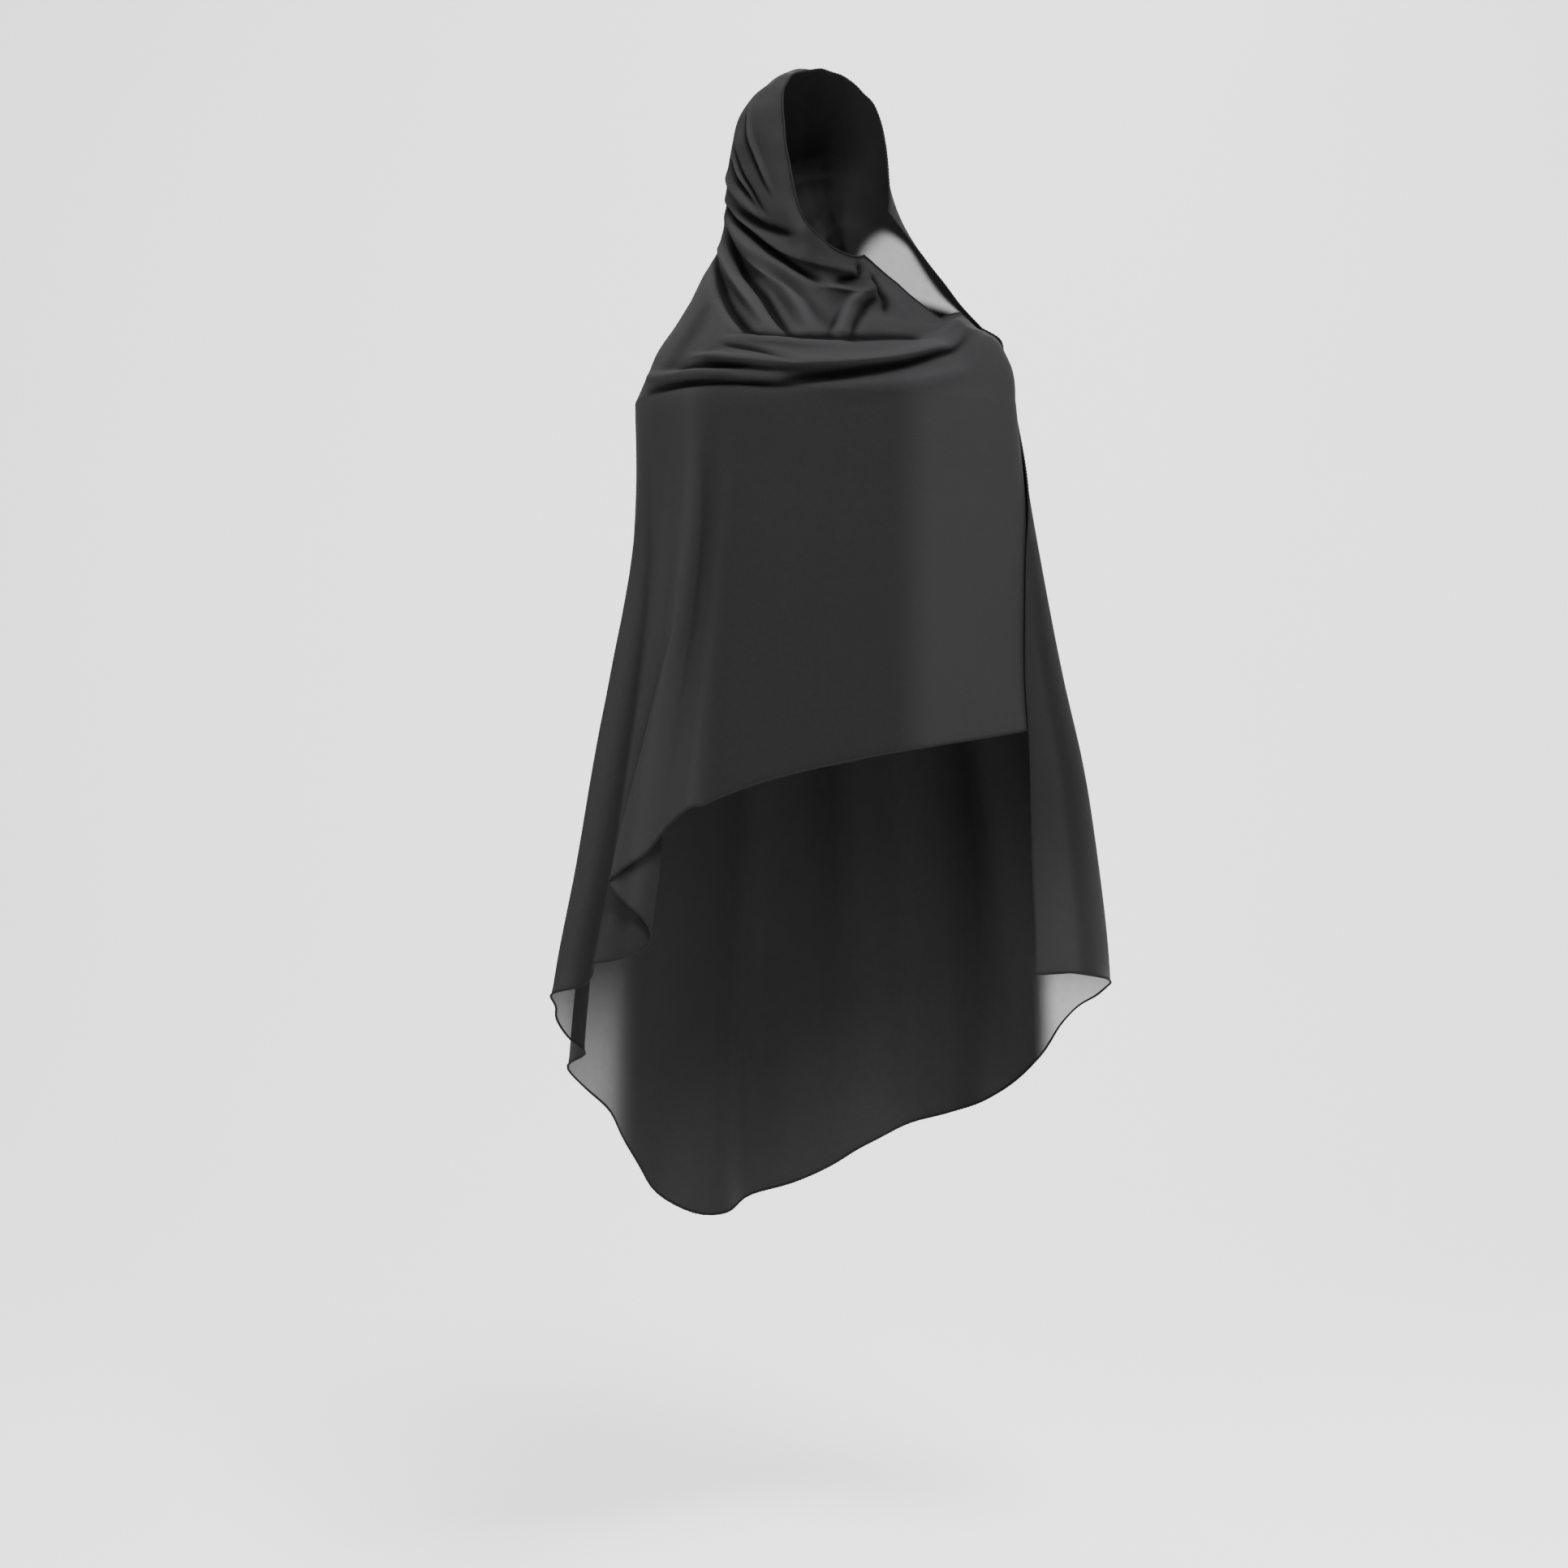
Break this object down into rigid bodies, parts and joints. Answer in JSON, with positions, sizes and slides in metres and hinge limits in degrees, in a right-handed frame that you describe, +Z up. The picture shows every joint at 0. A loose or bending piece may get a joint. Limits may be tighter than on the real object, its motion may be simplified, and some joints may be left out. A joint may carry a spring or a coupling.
{
  "type": "chiffon hijab",
  "caption": "Long chiffon sheet with a rolled hem, worn as a head wrap round the face and over the shoulders, with a smooth front panel and a tapering cape.",
  "frame": {"origin": "the crown: the top of the hood, where it sits on a head", "axes": "+Z up along the wearer, the face looks along -Y, +X is the wearer's left"},
  "size_m": [0.706, 0.3575, 1.3316],
  "materials": {
    "chiffon": "matt charcoal grey chiffon, slightly see-through in single layers",
    "rolled_hem": "the same chiffon rolled and stitched, so darker",
    "pin": "plain steel"
  },
  "bodies": {
    "root": {"shawl": "chiffon", "upper_long_hem": "rolled_hem", "left_end_hem": "rolled_hem", "lower_long_hem": "rolled_hem", "right_end_hem": "rolled_hem", "wrap_pin": "pin"}
  },
  "joints": []
}
